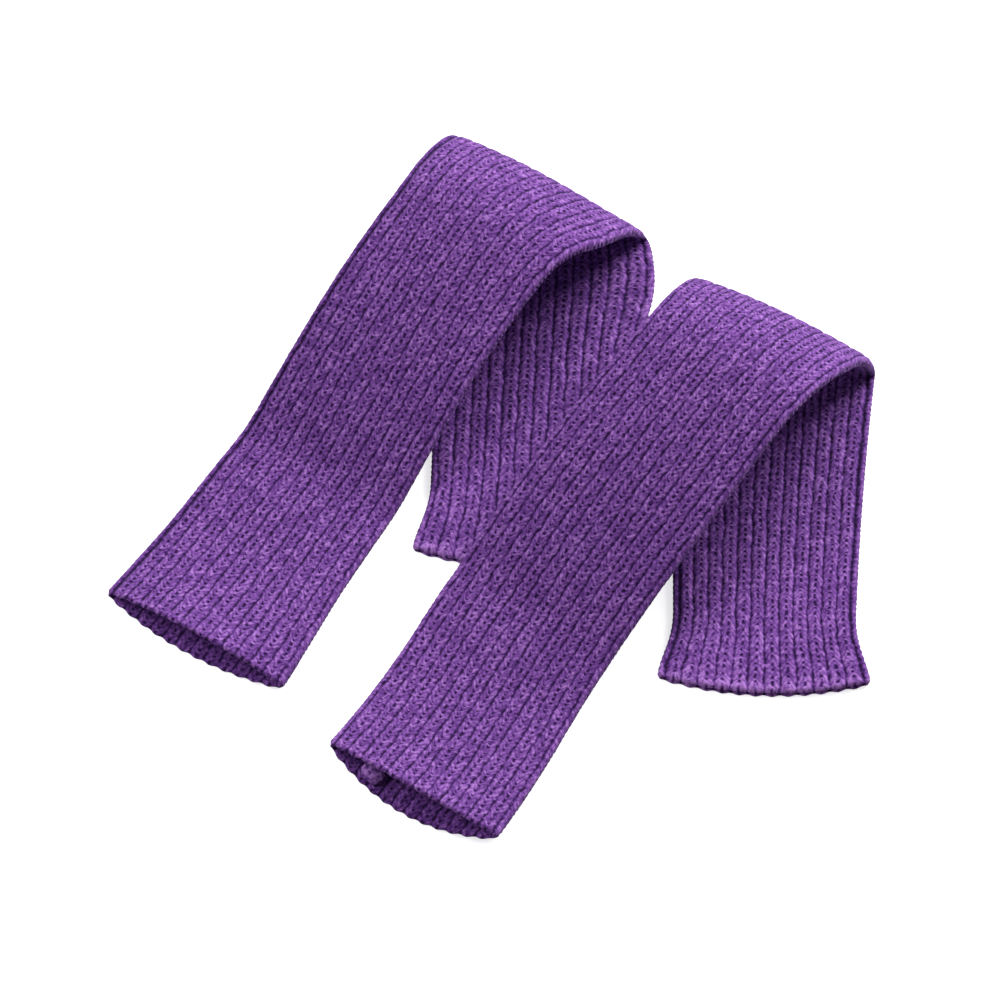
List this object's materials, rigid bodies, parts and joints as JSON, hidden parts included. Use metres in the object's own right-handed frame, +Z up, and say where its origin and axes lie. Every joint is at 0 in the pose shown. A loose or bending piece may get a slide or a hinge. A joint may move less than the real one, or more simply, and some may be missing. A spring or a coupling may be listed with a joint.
{
  "type": "pair of leg warmers",
  "caption": "Pair of chunky rib-knit tube leg warmers in purple, each lying flat at its front hem, raised into a loop and turned under onto its back half.",
  "frame": {"origin": "on the surface they lie on, under the middle of the pair's bounding box", "axes": "+Z up from the surface, +Y away from the front hems, +X to the right as seen from the front"},
  "size_m": [0.3478, 0.3506, 0.0652],
  "materials": {
    "purple_rib_knit": "matte, soft rib knit with a light fuzz"
  },
  "bodies": {
    "root": {"leg_warmer_left": "purple_rib_knit", "leg_warmer_right": "purple_rib_knit", "seam_end": "purple_rib_knit"}
  },
  "joints": []
}
